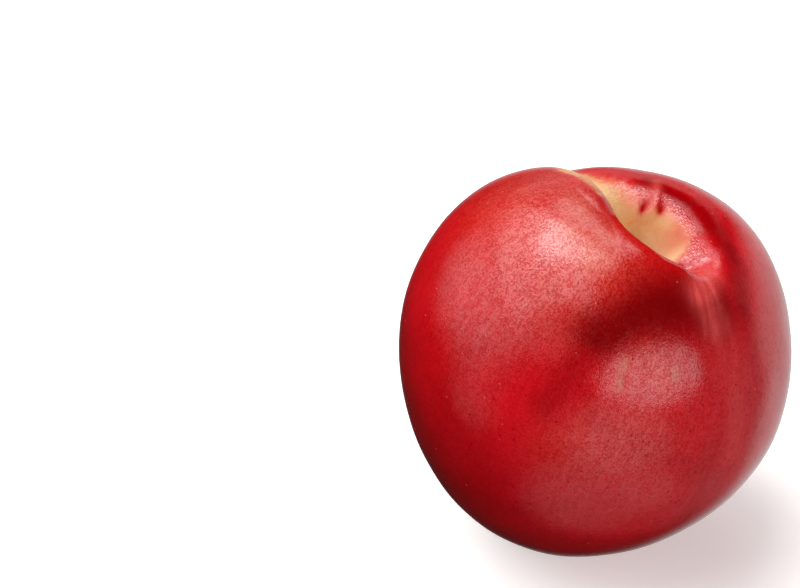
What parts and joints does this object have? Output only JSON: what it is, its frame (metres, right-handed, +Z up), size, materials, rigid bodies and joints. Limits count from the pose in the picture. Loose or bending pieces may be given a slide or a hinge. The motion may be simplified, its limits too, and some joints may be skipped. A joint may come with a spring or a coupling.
{
  "type": "nectarine",
  "caption": "Whole ripe nectarine with a deep stem cavity, a suture down one side and a small blossom tip, standing on a small flat spot.",
  "frame": {"origin": "on the surface that the fruit stands on, under the middle of its bounding box", "axes": "+Z up, away from the flat spot; the stem axis leans about 17 degrees from +Z towards +X and a little to +Y; the suture faces -X and +Y; the near cheek, which the viewer sees, faces -X and -Y"},
  "size_m": [0.0704, 0.0702, 0.0716],
  "materials": {
    "skin": "smooth waxy fruit skin, crimson with a satin gloss"
  },
  "bodies": {
    "root": {"nectarine": "skin"}
  },
  "joints": []
}
